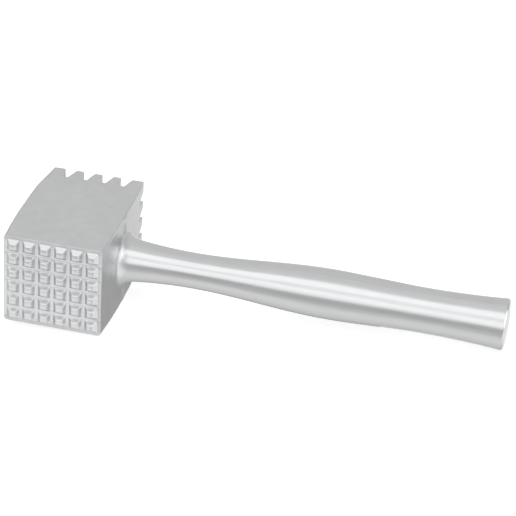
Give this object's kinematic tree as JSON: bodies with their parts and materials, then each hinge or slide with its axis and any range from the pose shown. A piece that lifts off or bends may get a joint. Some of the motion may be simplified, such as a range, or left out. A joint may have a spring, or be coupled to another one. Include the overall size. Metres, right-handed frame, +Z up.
{
  "type": "meat mallet",
  "caption": "Cast aluminium meat mallet: block head with a fine pyramid face and a coarse toothed face, on a turned handle screwed into its side.",
  "frame": {"origin": "middle of the flat land on the head's underside, straight below the handle's axis", "axes": "+X along the handle from the head to the butt, +Y from the fine face to the coarse face, +Z up"},
  "size_m": [0.2821, 0.0916, 0.0573],
  "materials": {
    "cast_aluminium": "matte as-cast skin with softened edges",
    "polished_aluminium": "satin, polished lengthwise",
    "zinc_steel": "bright zinc plate",
    "spring_steel": "plain spring steel"
  },
  "bodies": {
    "root": {"head": "cast_aluminium", "handle": "polished_aluminium", "tie_stud": "zinc_steel", "lock_pin": "spring_steel"}
  },
  "joints": []
}
